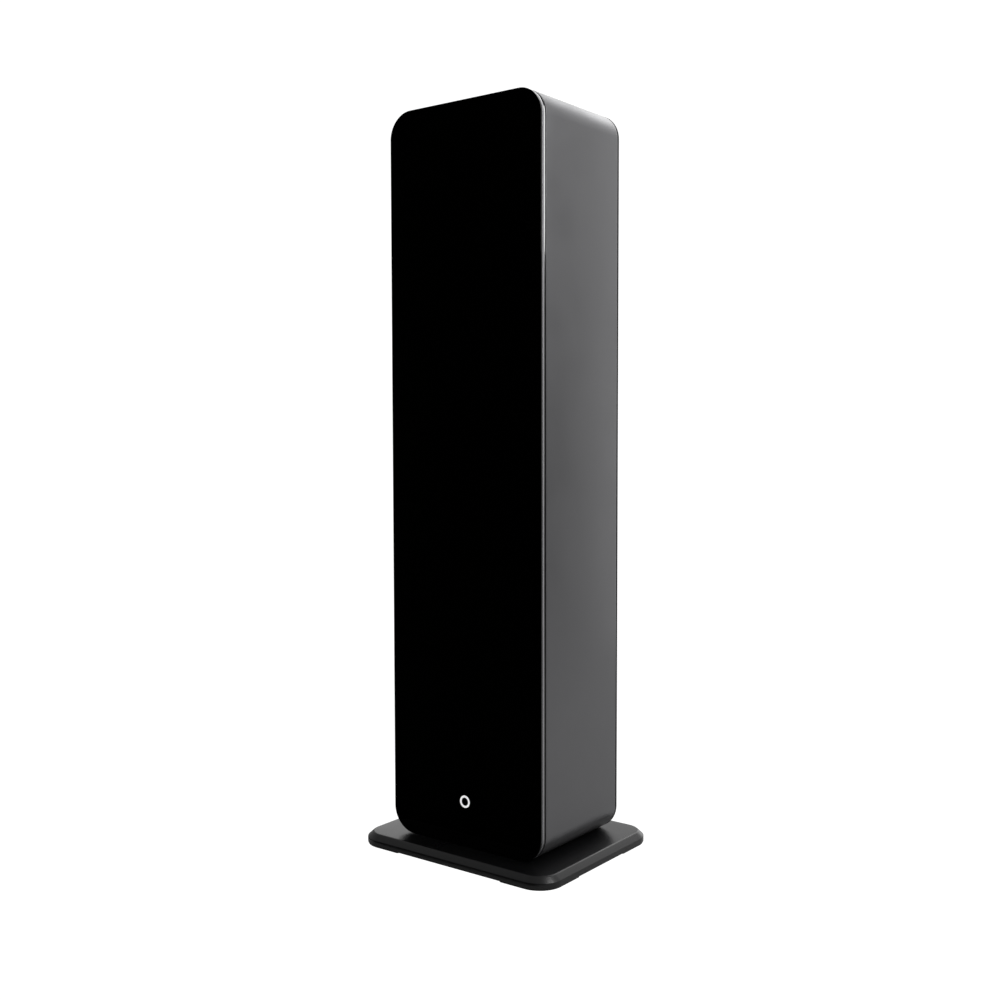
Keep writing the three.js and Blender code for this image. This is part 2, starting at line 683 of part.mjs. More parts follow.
function outletDuct() {
  const { halfX, front, rear, corner } = OUTLET;
  const wallShape = rounded(new THREE.Shape(), -halfX - 2, front - 2, halfX + 2, rear + 2, corner + 2);
  wallShape.holes.push(rounded(new THREE.Path(), -halfX, front, halfX, rear, corner));
  const flange = box(-halfX - 2, halfX + 2, FAN_Y - 75, FAN_Y + 77, DUCT_LOW, DUCT_LOW + 2.7);
  const mouth = toSolid(flat(rounded(new THREE.Shape(), -halfX, front, halfX, rear, corner), DUCT_LOW - 1, 886, 3))
    .intersect(toSolid(post(0, FAN_Y, HOUSING.inner, DUCT_LOW - 2, 887, 36)));
  return join(cut(flange, toGeometry(mouth)), flat(wallShape, DUCT_LOW + 2, DUCT_HIGH, 3));
}

// Louvred grille: a rounded border with a seating flange, leaning fins, and a rib across the middle.
function outletGrille() {
  const { halfX, front, rear, corner } = OUTLET;
  const border = 3;
  const outer = rounded(new THREE.Shape(), -halfX + GAP, front + GAP, halfX - GAP, rear - GAP, corner - GAP);
  const hole = [-halfX + border, front + border, halfX - border, rear - border, corner - border];
  outer.holes.push(rounded(new THREE.Path(), ...hole));
  const seat = rounded(new THREE.Shape(), -halfX - 1.5, front - 1.5, halfX + 1.5, rear + 1.5, corner + 1.5);
  seat.holes.push(rounded(new THREE.Path(), ...hole));
  const pieces = [
    flat(outer, DUCT_HIGH + GAP, HEIGHT, 3),
    flat(seat, DUCT_HIGH + GAP, DUCT_HIGH + 2.5, 3),
    box(-2, 2, front + 2, rear - 2, FIN.low, FIN.high - 1),
  ];
  const span = rear - front - 2 * border;
  for (let i = 0; i < FIN.count; i += 1) {
    const y = front + border + ((i + 0.5) * span) / FIN.count;
    pieces.push(fin(halfX - border + 1, y));
  }
  return join(...pieces);
}

// Fin section in Y and Z, leaning towards the front, running along X.
function fin(halfLength, y) {
  const section = new THREE.Shape();
  section.moveTo(FIN.lean / 2, FIN.low);
  section.lineTo(FIN.lean / 2 + FIN.thickness, FIN.low);
  section.lineTo(-FIN.lean / 2 + FIN.thickness, FIN.high);
  section.lineTo(-FIN.lean / 2, FIN.high);
  const bar = new THREE.ExtrudeGeometry(section, { depth: 2 * halfLength, bevelEnabled: false });
  const upright90 = new THREE.Matrix4().set(0, 0, 1, 0, 1, 0, 0, 0, 0, 1, 0, 0, 0, 0, 0, 1);
  return bar.applyMatrix4(upright90).translate(-halfLength, y - FIN.thickness / 2, 0);
}

// ---------------------------------------------------------------- assembly

function buildBase() {
  const base = new THREE.Group();
  add(base, 'base_plate', basePlate(), 'basePlastic');
  add(base, 'base_weight', baseWeight(), 'steel');
  for (const [place, signX, signY] of CORNERS) {
    add(base, `foot_${place}`, foot(signX, signY, -0.4, 0, FOOT_HEIGHT), 'rubber');
    add(base, `base_screw_${place}`, baseScrew(), 'steel', SCREW_X * signX, SCREW_Y * signY);
  }
  return base;
}

function buildShell() {
  const shell = new THREE.Group();
  add(shell, 'outer_sleeve', outerSleeve(), 'sleeve');
  add(shell, 'bottom_tray', bottomTray(), 'blackPlastic');
  add(shell, 'front_glass', frontGlass(), 'glass');
  add(shell, 'power_ring', powerRing(), 'ring', 0, FRONT, RING.z);
  add(shell, 'glass_carrier', glassCarrier(), 'trim');
  add(shell, 'panel_seal', panelSeal(), 'gasket');
  add(shell, 'front_bulkhead', frontBulkhead(), 'greyPlastic');
  for (const [side, x] of [['left', -CLIP_X], ['right', CLIP_X]]) {
    CLIP_Z.forEach((z, row) => {
      add(shell, `panel_clip_${side}_${row + 1}`, panelClip(), 'steel', x, CARRIER_BACK, z);
    });
  }
  add(shell, 'filter_bay_floor', filterBayFloor(), 'greyPlastic');
  add(shell, 'fan_deck', fanDeck(), 'greyPlastic');
  add(shell, 'partition', partition(), 'greyPlastic');
  return shell;
}

function buildFilters() {
  const filters = new THREE.Group();
  add(filters, 'filter_housing', filterHousing(), 'greyPlastic');
  add(filters, 'hepa_frame', hepaFrame(), 'greyPlastic');
  add(filters, 'hepa_media', hepaMedia(), 'filterMedia');
  add(filters, 'carbon_filter', carbonFilter(), 'carbon');
  add(filters, 'prefilter_frame', prefilterFrame(), 'blackPlastic');
  add(filters, 'prefilter_mesh', prefilterMesh(), 'mesh');
  add(filters, 'filter_pull_tab', pullTab(), 'mesh');
  return filters;
}

function buildRear() {
  const rear = new THREE.Group();
  add(rear, 'rear_frame', rearFrame(), 'blackPlastic');
  add(rear, 'grip_cup', gripCup(), 'blackPlastic');
  const pin = () => post(0, 0, PIN_RADIUS, 0, PIN_LENGTH);
  add(rear, 'hinge_pin_lower', pin(), 'steel', HINGE_X, HINGE_Y, DOOR_LOW - DOOR_CLEARANCE - 8.5);
  add(rear, 'hinge_pin_upper', pin(), 'steel', HINGE_X, HINGE_Y, DOOR_HIGH + DOOR_CLEARANCE + 8.5 - PIN_LENGTH);
  ['lower', 'upper'].forEach((place, row) => {
    const magnet = barrel(0, 0, CATCH_RADIUS, LIP_REAR - 3.2, LIP_REAR - 0.2);
    add(rear, `door_magnet_${place}`, magnet, 'steel', CATCH_X, 0, CATCH_Z[row]);
  });
  return rear;
}

function buildDoor() {
  const door = new THREE.Group();
  door.position.set(HINGE_X, HINGE_Y, 0);
  add(door, 'rear_door', rearDoor(), 'blackPlastic');
  ['lower', 'upper'].forEach((place, row) => {
    const strike = barrel(0, 0, CATCH_RADIUS, -HINGE_RADIUS + 0.2, -HINGE_RADIUS + 1.5);
    add(door, `door_strike_${place}`, strike, 'steel', CATCH_X - HINGE_X, 0, CATCH_Z[row]);
  });
  return door;
}

function buildElectrics() {
  const electrics = new THREE.Group();
  add(electrics, 'inlet_socket', inletSocket(), 'blackPlastic', SOCKET.x, 0, SOCKET.z);
  add(electrics, 'inlet_lead', inletLead(), 'rubber');
  add(electrics, 'air_sensor', airSensor(), 'blackPlastic', SENSOR.x, 0, SENSOR.z);
  add(electrics, 'power_supply', powerSupply(), 'board');
  add(electrics, 'main_board', mainBoard(), 'board');
  add(electrics, 'touch_board', touchBoard(), 'board');
  return electrics;
}

function buildFan() {
  const fan = new THREE.Group();
  fan.position.set(0, FAN_Y, 0);
  add(fan, 'fan_housing', fanHousing(), 'greyPlastic');
  add(fan, 'motor_mount', motorMount(), 'greyPlastic');
  add(fan, 'bearing_lower', bearing(), 'steel', 0, 0, BEARING.low);
  add(fan, 'bearing_upper', bearing(), 'steel', 0, 0, BEARING.high);
  add(fan, 'motor_stator', motorStator(), 'copper');
  add(fan, 'motor_rotor', motorRotor(), 'steel');
  add(fan, 'motor_shaft', motorShaft(), 'steel');
  add(fan, 'impeller', impeller(), 'greyPlastic');
  add(fan, 'shaft_nut', shaftNut(), 'steel');
  return fan;
}

function buildOutlet() {
  const outlet = new THREE.Group();
  add(outlet, 'outlet_duct', outletDuct(), 'greyPlastic');
  add(outlet, 'outlet_grille', outletGrille(), 'blackPlastic');
  return outlet;
}

const group = new THREE.Group();
group.add(buildBase(), buildShell(), buildFilters(), buildRear(), buildDoor());
group.add(buildElectrics(), buildFan(), buildOutlet());

export default group;
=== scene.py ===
"""Looks of the tower air purifier: fine meshes, procedural materials, studio and camera around the frame."""

import json
import math

import bmesh
import bpy
from mathutils import Matrix, Vector


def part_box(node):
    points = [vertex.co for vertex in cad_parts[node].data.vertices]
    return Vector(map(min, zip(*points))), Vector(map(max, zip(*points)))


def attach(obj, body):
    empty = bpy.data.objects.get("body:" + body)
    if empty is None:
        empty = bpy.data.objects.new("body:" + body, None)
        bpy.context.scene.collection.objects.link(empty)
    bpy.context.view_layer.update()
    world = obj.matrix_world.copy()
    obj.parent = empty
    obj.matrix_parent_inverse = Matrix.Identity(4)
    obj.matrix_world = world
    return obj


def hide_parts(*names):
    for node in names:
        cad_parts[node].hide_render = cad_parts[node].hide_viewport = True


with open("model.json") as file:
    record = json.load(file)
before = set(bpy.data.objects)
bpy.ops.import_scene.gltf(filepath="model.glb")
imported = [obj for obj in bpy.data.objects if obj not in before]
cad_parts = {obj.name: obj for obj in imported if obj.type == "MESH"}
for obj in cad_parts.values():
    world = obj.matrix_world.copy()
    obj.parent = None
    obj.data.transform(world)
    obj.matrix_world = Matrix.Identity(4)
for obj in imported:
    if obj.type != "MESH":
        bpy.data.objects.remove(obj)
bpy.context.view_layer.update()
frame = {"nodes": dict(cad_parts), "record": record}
scene = bpy.context.scene
MM = 0.001

# ------------------------------------------------------------------ camera

CAMERA_PLACE = (1.0441, -1.3831, 0.5961)
CAMERA_TURN = math.radians(37.294)
CAMERA_PITCH = math.radians(3.370)
CAMERA_ROLL = math.radians(-0.114)
CAMERA_LENS = 43.926


def place_camera():
    data = bpy.data.cameras.new("camera")
    data.lens = CAMERA_LENS
    data.sensor_width = 36
    camera = bpy.data.objects.new("camera", data)
    turn = Matrix.Rotation(CAMERA_TURN, 4, "Z")
    tilt = Matrix.Rotation(math.pi / 2 - CAMERA_PITCH, 4, "X")
    roll = Matrix.Rotation(CAMERA_ROLL, 4, "Z")
    camera.matrix_world = Matrix.Translation(CAMERA_PLACE) @ turn @ tilt @ roll
    scene.collection.objects.link(camera)
    scene.camera = camera


place_camera()

# ------------------------------------------------------------------ sizes, from the frame

sleeve_low, sleeve_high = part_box("outer_sleeve")
glass_low, glass_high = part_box("front_glass")
carrier_low, carrier_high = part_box("glass_carrier")
seal_low, seal_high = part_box("panel_seal")
ring_low, ring_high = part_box("power_ring")
base_low, base_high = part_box("base_plate")
rear_low, rear_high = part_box("rear_frame")
door_low, door_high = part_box("rear_door")
grille_low, grille_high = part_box("outlet_grille")
cup_low, cup_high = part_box("grip_cup")
socket_low, socket_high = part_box("inlet_socket")
sensor_low, sensor_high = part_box("air_sensor")
net_low, net_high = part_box("prefilter_mesh")
weight_low, weight_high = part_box("base_weight")

HALF_WIDTH = sleeve_high[0]
TOP = sleeve_high[2]
BOTTOM = sleeve_low[2]
CORNER = 36.4 * MM
WALL = 2 * MM
GAP = 0.3 * MM
EDGE = 0.6 * MM           # usual rounding of a moulded edge
CORNER_STEPS = 28

# ------------------------------------------------------------------ mesh helpers


def arc(centre, radius, start, end, steps):
    """Points of an arc, both ends included, angles in degrees."""
    points = []
    for i in range(steps + 1):
        angle = math.radians(start + (end - start) * i / steps)
        points.append((centre[0] + radius * math.cos(angle), centre[1] + radius * math.sin(angle)))
    return points


def rounded(x0, y0, x1, y1, radius, steps=CORNER_STEPS):
    """Counter-clockwise rounded rectangle."""
    points = arc((x1 - radius, y0 + radius), radius, -90, 0, steps)
    points += arc((x1 - radius, y1 - radius), radius, 0, 90, steps)
    points += arc((x0 + radius, y1 - radius), radius, 90, 180, steps)
    points += arc((x0 + radius, y0 + radius), radius, 180, 270, steps)
    return points


def tower_outline(inset):
    """The tower seen from the front, drawn in by inset."""
    half = HALF_WIDTH - inset
    return rounded(-half, BOTTOM + inset, half, TOP - inset, CORNER - inset)


def lift(point, level, axis):
    """A flat point and a level along the axis, as a place: Z stands on XY, Y on XZ, X on YZ."""
    u, v = point
    if axis == "Z":
        return (u, v, level)
    if axis == "Y":
        return (u, level, v)
    return (level, u, v)


def new_object(name, mesh_builder):
    """Makes a mesh object from a bmesh and turns its faces outwards."""
    mesh = bpy.data.meshes.new(name)
    bmesh.ops.recalc_face_normals(mesh_builder, faces=mesh_builder.faces[:])
    mesh_builder.to_mesh(mesh)
    mesh_builder.free()
    thing = bpy.data.objects.new(name, mesh)
    scene.collection.objects.link(thing)
    return thing


def sweep_into(builder, outline, profile, axis, closed=False):
    """Adds loops of outline(inset) at each (inset, level) of the profile, joined by quads."""
    loops = []
    for inset, level in profile:
        loops.append([builder.verts.new(lift(point, level, axis)) for point in outline(inset)])
    count = len(loops[0])
    pairs = list(zip(loops, loops[1:]))
    if closed:
        pairs.append((loops[-1], loops[0]))
    for first, second in pairs:
        for i in range(count):
            j = (i + 1) % count
            builder.faces.new((first[i], first[j], second[j], second[i]))
    if not closed:
        builder.faces.new(loops[0])
        builder.faces.new(loops[-1])


def sweep(name, outline, profile, axis, closed=False):
    builder = bmesh.new()
    sweep_into(builder, outline, profile, axis, closed)
    return new_object(name, builder)


def eased(low, high, radius=EDGE, steps=4):
    """Profile of a slab from low to high whose two outer edges are rounded."""
    profile = []
    for i in range(steps + 1):
        angle = math.radians(90 * i / steps)
        profile.append((radius * (1 - math.sin(angle)), low + radius * (1 - math.cos(angle))))
    for i in range(steps + 1):
        angle = math.radians(90 * i / steps)
        profile.append((radius * (1 - math.cos(angle)), high - radius * (1 - math.sin(angle))))
    return profile


def tube_profile(low, high, wall, radius=EDGE, steps=4):
    """Closed profile of a wall from inset 0 to inset wall, all four edges rounded."""
    outer = eased(low, high, radius, steps)
    inner = [(wall - inset, level) for inset, level in reversed(outer)]
    return outer + inner


def prism(name, points, low, high, axis):
    return sweep(name, lambda inset: points, [(0, low), (0, high)], axis)


def block(name, low, high):
    return prism(name, [(low[0], low[1]), (high[0], low[1]), (high[0], high[1]), (low[0], high[1])],
                 low[2], high[2], "Z")


def disc(name, centre, radius, low, high, axis, steps=48):
    return prism(name, arc(centre, radius, 0, 360 * (steps - 1) / steps, steps - 1), low, high, axis)


def join(name, parts):
    """One object out of several, each of them a closed shell."""
    builder = bmesh.new()
    for part in parts:
        builder.from_mesh(part.data)
        bpy.data.objects.remove(part)
    return new_object(name, builder)


def settle(thing):
    """Applies the object's modifiers to its mesh."""
    view = bpy.context.evaluated_depsgraph_get()
    mesh = bpy.data.meshes.new_from_object(thing.evaluated_get(view))
    thing.modifiers.clear()
    thing.data = mesh


def carve(thing, *cutters):
    """Cuts each cutter out of the object, one after the other."""
    for cutter in cutters:
        modifier = thing.modifiers.new("cut", "BOOLEAN")
        modifier.operation = "DIFFERENCE"
        modifier.solver = "EXACT"
        modifier.object = cutter
        settle(thing)
        bpy.data.objects.remove(cutter)
    return thing


def soften(thing, width=EDGE, segments=3, angle=35):
    """Rounds the sharp edges and shades the rest smooth."""
    builder = bmesh.new()
    builder.from_mesh(thing.data)
    bmesh.ops.dissolve_degenerate(builder, dist=1e-6, edges=builder.edges[:])
    builder.to_mesh(thing.data)
    builder.free()
    modifier = thing.modifiers.new("soften", "BEVEL")
    modifier.width = width
    modifier.segments = segments
    modifier.limit_method = "ANGLE"
    modifier.angle_limit = math.radians(angle)
    modifier.miter_outer = "MITER_ARC"
    modifier.harden_normals = True
    smooth(thing)
    return thing


def smooth(thing, angle=35):
    thing.data.shade_smooth()
    thing.data.set_sharp_from_angle(angle=math.radians(angle))
    return thing


# ------------------------------------------------------------------ material helpers


class Finish:
    """A Principled material with object-space procedural detail. Scales are in repeats per metre."""

    def __init__(self, name, colour, roughness, metallic=0.0, specular=0.5, coat=0.0):
        self.material = bpy.data.materials.new(name)
        self.material.use_nodes = True
        self.tree = self.material.node_tree
        self.shader = self.tree.nodes["Principled BSDF"]
        self.shader.inputs["Base Color"].default_value = (*colour, 1)
        self.shader.inputs["Roughness"].default_value = roughness
        self.shader.inputs["Metallic"].default_value = metallic
        self.shader.inputs["Specular IOR Level"].default_value = specular
        self.shader.inputs["Coat Weight"].default_value = coat
        self.place = self.add("ShaderNodeTexCoord").outputs["Object"]

    def add(self, kind, **settings):
        node = self.tree.nodes.new(kind)
        for key, value in settings.items():
            if key in node.inputs:
                node.inputs[key].default_value = value
            else:
                setattr(node, key, value)
        return node

    def link(self, source, target):
        self.tree.links.new(source, target)

    def stretched(self, x, y, z):
        """The object's coordinates, scaled on each axis."""
        node = self.add("ShaderNodeMapping")
        node.inputs["Scale"].default_value = (x, y, z)
        self.link(self.place, node.inputs["Vector"])
        return node.outputs["Vector"]

    def noise(self, scale, detail=3.0, place=None):
        node = self.add("ShaderNodeTexNoise", Scale=scale, Detail=detail)
        self.link(place or self.place, node.inputs["Vector"])
        return node.outputs["Fac"]

    def cells(self, scale, feature="F1"):
        node = self.add("ShaderNodeTexVoronoi", feature=feature, Scale=scale)
        self.link(self.place, node.inputs["Vector"])
        return node.outputs["Distance"]

    def spread(self, value, low, high, start=0.3, end=0.7):
        """Maps a value from start..end to low..high."""
        node = self.add("ShaderNodeMapRange")
        self.link(value, node.inputs["Value"])
        for key, number in (("From Min", start), ("From Max", end), ("To Min", low), ("To Max", high)):
            node.inputs[key].default_value = number
        return node.outputs["Result"]

    def colour_between(self, value, first, second):
        node = self.add("ShaderNodeMix", data_type="RGBA")
        self.link(value, node.inputs[0])
        node.inputs[6].default_value = (*first, 1)
        node.inputs[7].default_value = (*second, 1)
        self.link(node.outputs[2], self.shader.inputs["Base Color"])

    def vary_roughness(self, value, low, high):
        self.link(self.spread(value, low, high), self.shader.inputs["Roughness"])

    def bump(self, value, depth):
        """Raises the surface by up to depth, in metres."""
        node = self.add("ShaderNodeBump", Strength=1.0, Distance=depth)
        self.link(value, node.inputs["Height"])
        self.link(node.outputs["Normal"], self.shader.inputs["Normal"])


def scaled(colour, factor):
    return tuple(channel * factor for channel in colour)


def glass_black():
    finish = Finish("glass_black", (0.0003, 0.0003, 0.0004), 0.03, specular=0.5)
    finish.vary_roughness(finish.noise(9, 4), 0.02, 0.05)
    finish.colour_between(finish.noise(40), (0.00025, 0.00025, 0.0003), (0.0004, 0.0004, 0.0005))
    return finish


def ring_white():
    finish = Finish("ring_white", (0.86, 0.86, 0.86), 0.35)
    finish.colour_between(finish.noise(400), (0.82, 0.82, 0.82), (0.9, 0.9, 0.9))
    finish.bump(finish.noise(3000, 2), 0.02 * MM)
    finish.shader.inputs["Emission Color"].default_value = (1, 1, 1, 1)
    finish.shader.inputs["Emission Strength"].default_value = 0.6
    return finish


def sleeve_grey():
    """Satin anodised metal: fine blasted grain and a slow drift in tone."""
    colour = (0.165, 0.165, 0.17)
    finish = Finish("sleeve_grey", colour, 0.36, metallic=0.85, specular=0.5)
    finish.colour_between(finish.noise(6, 2), scaled(colour, 0.96), scaled(colour, 1.04))
    finish.vary_roughness(finish.noise(14, 4), 0.33, 0.4)
    finish.bump(finish.noise(5200, 2), 0.012 * MM)
    return finish


def base_black():
    finish = Finish("base_black", (0.004, 0.004, 0.0045), 0.3, specular=0.5)
    finish.colour_between(finish.noise(30), (0.0035, 0.0035, 0.004), (0.005, 0.005, 0.0055))
    finish.vary_roughness(finish.noise(18, 5), 0.27, 0.34)
    finish.bump(finish.noise(900, 3), 0.02 * MM)
    return finish


def trim_grey():
    """Lighter satin anodised metal, brushed along the edge."""
    colour = (0.35, 0.35, 0.36)
    finish = Finish("trim_grey", colour, 0.38, metallic=0.9)
    marks = finish.noise(1, 3, finish.stretched(3000, 3000, 40))
    finish.colour_between(marks, scaled(colour, 0.92), scaled(colour, 1.08))
    finish.vary_roughness(marks, 0.34, 0.42)
    finish.bump(marks, 0.004 * MM)
    return finish


def black_plastic():
    """Moulded plastic with a fine sparked grain."""
    finish = Finish("black_plastic", (0.02, 0.02, 0.021), 0.55, specular=0.4)
    finish.colour_between(finish.noise(20), (0.018, 0.018, 0.019), (0.024, 0.024, 0.025))
    finish.vary_roughness(finish.noise(60, 4), 0.48, 0.62)
    finish.bump(finish.noise(1600, 3), 0.05 * MM)
    return finish


def grey_plastic():
    finish = Finish("grey_plastic", (0.26, 0.265, 0.27), 0.5)
    finish.colour_between(finish.noise(15), (0.24, 0.245, 0.25), (0.28, 0.285, 0.29))
    finish.vary_roughness(finish.noise(50, 4), 0.42, 0.58)
    finish.bump(finish.noise(1400, 3), 0.03 * MM)
    return finish


def black_rubber():
    finish = Finish("black_rubber", (0.012, 0.012, 0.012), 0.8, specular=0.3)
    finish.colour_between(finish.noise(200), (0.009, 0.009, 0.009), (0.017, 0.017, 0.017))
    finish.vary_roughness(finish.noise(300), 0.72, 0.9)
    finish.bump(finish.noise(2200, 4), 0.06 * MM)
    return finish


def gasket_black():
    """Glossy rubber with a faint moulding ripple."""
    finish = Finish("gasket_black", (0.01, 0.01, 0.01), 0.12, specular=1.0, coat=1.0)
    finish.colour_between(finish.noise(60), (0.008, 0.008, 0.008), (0.012, 0.012, 0.012))
    finish.vary_roughness(finish.noise(30, 4), 0.09, 0.15)
    return finish


def bright_steel():
    """Zinc plated steel with drawing marks."""
    finish = Finish("bright_steel", (0.55, 0.56, 0.57), 0.32, metallic=1.0)
    marks = finish.noise(1, 3, finish.stretched(2500, 2500, 60))
    finish.colour_between(marks, (0.48, 0.49, 0.5), (0.62, 0.63, 0.64))
    finish.vary_roughness(marks, 0.24, 0.4)
    finish.bump(marks, 0.01 * MM)
    return finish


def filter_paper():
    finish = Finish("filter_paper", (0.8, 0.78, 0.72), 0.9, specular=0.2)
    fibres = finish.noise(1, 5, finish.stretched(900, 900, 300))
    finish.colour_between(fibres, (0.72, 0.7, 0.64), (0.86, 0.84, 0.79))
    finish.bump(fibres, 0.15 * MM)
    return finish


def carbon():
    """Packed granules, with painted shade: darker in the gaps between grains."""
    finish = Finish("carbon", (0.02, 0.02, 0.021), 0.85, specular=0.3)
    grains = finish.cells(420)
    # painted shade: the colour darkens towards the sunken gaps between grains
    finish.colour_between(finish.spread(grains, 0, 1, 0.0, 0.6), (0.035, 0.035, 0.036), (0.006, 0.006, 0.006))
    finish.bump(finish.spread(grains, 1, 0, 0.0, 0.6), 1.2 * MM)
    return finish


def filter_mesh():
    """Twisted nylon threads."""
    finish = Finish("filter_mesh", (0.05, 0.052, 0.055), 0.7, specular=0.4)
    threads = finish.noise(1, 2, finish.stretched(4000, 4000, 4000))
    finish.colour_between(threads, (0.035, 0.036, 0.038), (0.07, 0.072, 0.076))
    finish.bump(threads, 0.05 * MM)
    return finish


def circuit_board():
    """Solder mask over copper tracks."""
    finish = Finish("circuit_board", (0.012, 0.09, 0.04), 0.35)
    tracks = finish.cells(160, "DISTANCE_TO_EDGE")
    finish.colour_between(finish.spread(tracks, 0, 1, 0.03, 0.08), (0.02, 0.16, 0.07), (0.01, 0.07, 0.035))
    finish.bump(finish.spread(tracks, 1, 0, 0.03, 0.08), 0.05 * MM)
    return finish


def copper_winding():
    """Turns of enamelled wire lying side by side, with painted shade: dark bands in the grooves between
    turns.
    """
    finish = Finish("copper_winding", (0.42, 0.16, 0.06), 0.3, metallic=0.9)
    wave = finish.add("ShaderNodeTexWave", wave_type="BANDS", bands_direction="Z", Scale=320)
    finish.link(finish.place, wave.inputs["Vector"])
    # painted shade: darker where the bump sinks into the grooves between turns
    finish.colour_between(wave.outputs["Fac"], (0.2, 0.06, 0.02), (0.55, 0.24, 0.1))
    finish.bump(wave.outputs["Fac"], 0.3 * MM)
    return finish


FINISHES = {
    builder.__name__: builder().material
    for builder in (
        glass_black, ring_white, sleeve_grey, trim_grey, base_black, black_plastic, grey_plastic,
        black_rubber, bright_steel, filter_paper, carbon, filter_mesh, gasket_black, circuit_board,
        copper_winding,
    )
}


def dress(piece, slot, *nodes, body="tower"):
    """Gives a piece the finish of its slot and its body, and hides the CAD nodes it stands for."""
    piece.data.materials.clear()
    piece.data.materials.append(FINISHES[slot])
    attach(piece, body)
    if nodes:
        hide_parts(*nodes)
    return piece


def dress_cad_nodes():
    slots = {part["node"]: part["material_slot"] for part in frame["record"]["subparts"]}
    for name, node in frame["nodes"].items():
        for index in range(len(node.material_slots)):
            node.material_slots[index].material = FINISHES[slots[name]]


dress_cad_nodes()

# ------------------------------------------------------------------ front

RING_WALL = 2.7 * MM


def glass_pane():
    pane = sweep("glass_pane", tower_outline, eased(glass_low[1], glass_high[1], 0.5 * MM), "Y")
    centre = (0, (ring_low[2] + ring_high[2]) / 2)
    outer = ring_high[0]
    inner = outer - RING_WALL
    floor = ring_high[1] + GAP
    groove = disc("groove", centre, outer + GAP, glass_low[1] - MM, floor, "Y", 96)
    island = disc("island", centre, inner - GAP, glass_low[1] - 2 * MM, floor + MM, "Y", 96)
    carve(groove, island)
    carve(pane, groove)
    return dress(smooth(pane), "glass_black", "front_glass")


def touch_ring():
    """Light ring: its face is slightly crowned and its edges are rounded."""
    centre = (0, (ring_low[2] + ring_high[2]) / 2)
    outer = ring_high[0]

    def outline(inset):
        return arc(centre, outer - inset, 0, 360 * 95 / 96, 95)

    profile = tube_profile(ring_low[1], ring_high[1], RING_WALL, 0.3 * MM, 3)
    piece = sweep("touch_ring", outline, profile, "Y", closed=True)
    return dress(smooth(piece), "ring_white", "power_ring")


def carrier_edge():
    """Metal carrier that the glass is bonded to; its edge shows beside the glass."""
    piece = sweep("carrier_edge", tower_outline, eased(carrier_low[1], carrier_high[1], 0.4 * MM), "Y")
    window = prism("window", rounded(-30 * MM, 58 * MM, 30 * MM, 98 * MM, 3 * MM, 6),
                   carrier_low[1] - MM, carrier_high[1] + MM, "Y")
    carve(piece, window)
    return dress(smooth(piece), "trim_grey", "glass_carrier")


def seal_bead():
    """Glossy gasket in the shadow gap: a slanting face, its crest, then a lower web to the sleeve."""
    proud = HALF_WIDTH - seal_high[0]
    front, rear = seal_low[1], seal_high[1]
    profile = [
        (proud + 1.45 * MM, front), (proud + 0.1 * MM, rear - 1.15 * MM), (proud, rear - 0.95 * MM),
        (proud + 0.15 * MM, rear - 0.75 * MM), (proud + 1.6 * MM, rear - 0.6 * MM), (proud + 1.8 * MM, rear),
        (proud + 4 * MM, rear), (proud + 4 * MM, front),
    ]
    piece = sweep("seal_bead", tower_outline, profile, "Y", closed=True)
    return dress(smooth(piece), "gasket_black", "panel_seal")


# ------------------------------------------------------------------ sleeve

MOUTH_RADIUS = 8 * MM
MOUTH_X = grille_high[0] - 1.5 * MM
MOUTH_FRONT = grille_low[1] + 1.5 * MM
MOUTH_REAR = grille_high[1] - 1.5 * MM
SCREW_X = 72 * MM
SCREW_Y = 70 * MM
SCREW_HOLE = 2.4 * MM     # radius
HEAD_HOLE = 5 * MM        # radius
DRAW_DEPTH = 0.9 * MM     # how far the sleeve's rear edge is drawn in, and over what length
DRAW_LENGTH = 4 * MM


def wrap_sleeve():
    """Bent sheet, crisp at its front edge and drawn in over its last few millimetres at the rear."""
    front, rear = sleeve_low[1], sleeve_high[1]
    profile = eased(front, rear, 0.45 * MM)[:5]
    for i in range(9):
        angle = math.radians(90 * i / 8)
        profile.append((DRAW_DEPTH * (1 - math.cos(angle)), rear - DRAW_LENGTH * (1 - math.sin(angle))))
    profile += [(WALL, rear), (WALL, front)]
    piece = sweep("wrap_sleeve", tower_outline, profile, "Y", closed=True)
    mouth = prism("mouth", rounded(-MOUTH_X, MOUTH_FRONT, MOUTH_X, MOUTH_REAR, MOUTH_RADIUS, 10),
                  TOP - 5 * MM, TOP + 5 * MM, "Z")
    carve(piece, mouth)
    for x in (-SCREW_X, SCREW_X):
        for y in (-SCREW_Y, SCREW_Y):
            carve(piece, disc("hole", (x, y), SCREW_HOLE, BOTTOM - MM, BOTTOM + 4 * MM, "Z", 24))
    return dress(smooth(piece), "sleeve_grey", "outer_sleeve")


# ------------------------------------------------------------------ base

FOOT_INNER_X = 89 * MM
FOOT_INNER_Y = 54 * MM
BASE_CORNER = 35.5 * MM


def base_outline(inset):
    return rounded(base_low[0] + inset, base_low[1] + inset, base_high[0] - inset, base_high[1] - inset,
                   BASE_CORNER - inset)


def foot_outline(sign_x, sign_y, inset):
    """Pad under one corner, its outer corner following the plate's."""
    outer_x = base_high[0] - MM - inset
    outer_y = base_high[1] - MM - inset
    turn = BASE_CORNER - MM - inset
    small = 3 * MM
    low_x = FOOT_INNER_X + inset
    low_y = FOOT_INNER_Y + inset
    points = arc((outer_x - small, low_y + small), small, -90, 0, 6)
    points += arc((outer_x - turn, outer_y - turn), turn, 0, 90, CORNER_STEPS)
    points += arc((low_x + small, outer_y - small), small, 90, 180, 6)
    points += arc((low_x + small, low_y + small), small, 180, 270, 6)
    return [(x * sign_x, y * sign_y) for x, y in points]


